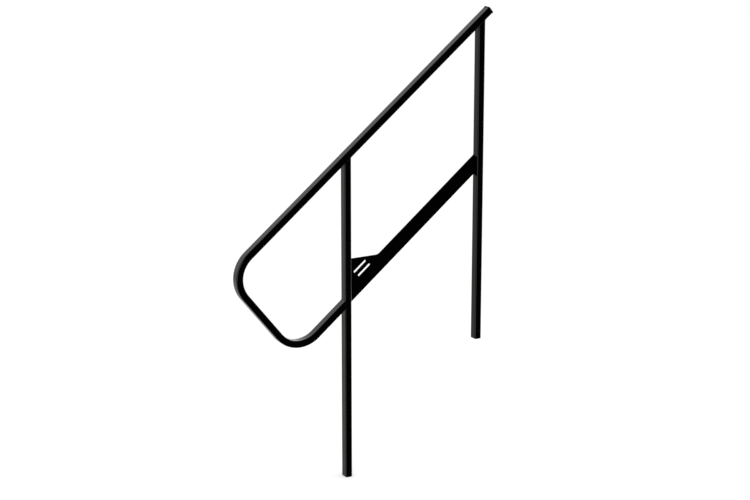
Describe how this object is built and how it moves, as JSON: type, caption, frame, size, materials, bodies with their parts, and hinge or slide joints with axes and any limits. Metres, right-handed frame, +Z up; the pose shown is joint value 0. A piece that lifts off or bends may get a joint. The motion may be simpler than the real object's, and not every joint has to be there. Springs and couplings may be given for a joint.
{
  "type": "stair railing",
  "caption": "Sloping stair railing: a bent rectangular steel tube with a closed lower loop on two plain posts, with a flat infill plate between them.",
  "frame": {"origin": "middle of the lower post's foot, level with the end of the post", "axes": "+X runs level up the stair from the lower post to the upper post, +Z is up, and -Y is the railing's front, away from its infill plate"},
  "size_m": [1.1851, 0.0416, 1.9191],
  "materials": {
    "painted_steel": "smooth satin black powder coat",
    "painted_weld": "satin black powder coat over weld beads",
    "cap_plastic": "moulded black plastic"
  },
  "bodies": {
    "root": {"handrail_tube": "painted_steel", "lower_post": "painted_steel", "upper_post": "painted_steel", "infill_plate": "painted_steel", "handrail_end_cap": "cap_plastic", "weld_lower_post_rail": "painted_weld", "weld_upper_post_rail": "painted_weld", "weld_return_rail": "painted_weld", "weld_plate_lower_post": "painted_weld", "weld_plate_upper_post": "painted_weld"}
  },
  "joints": []
}
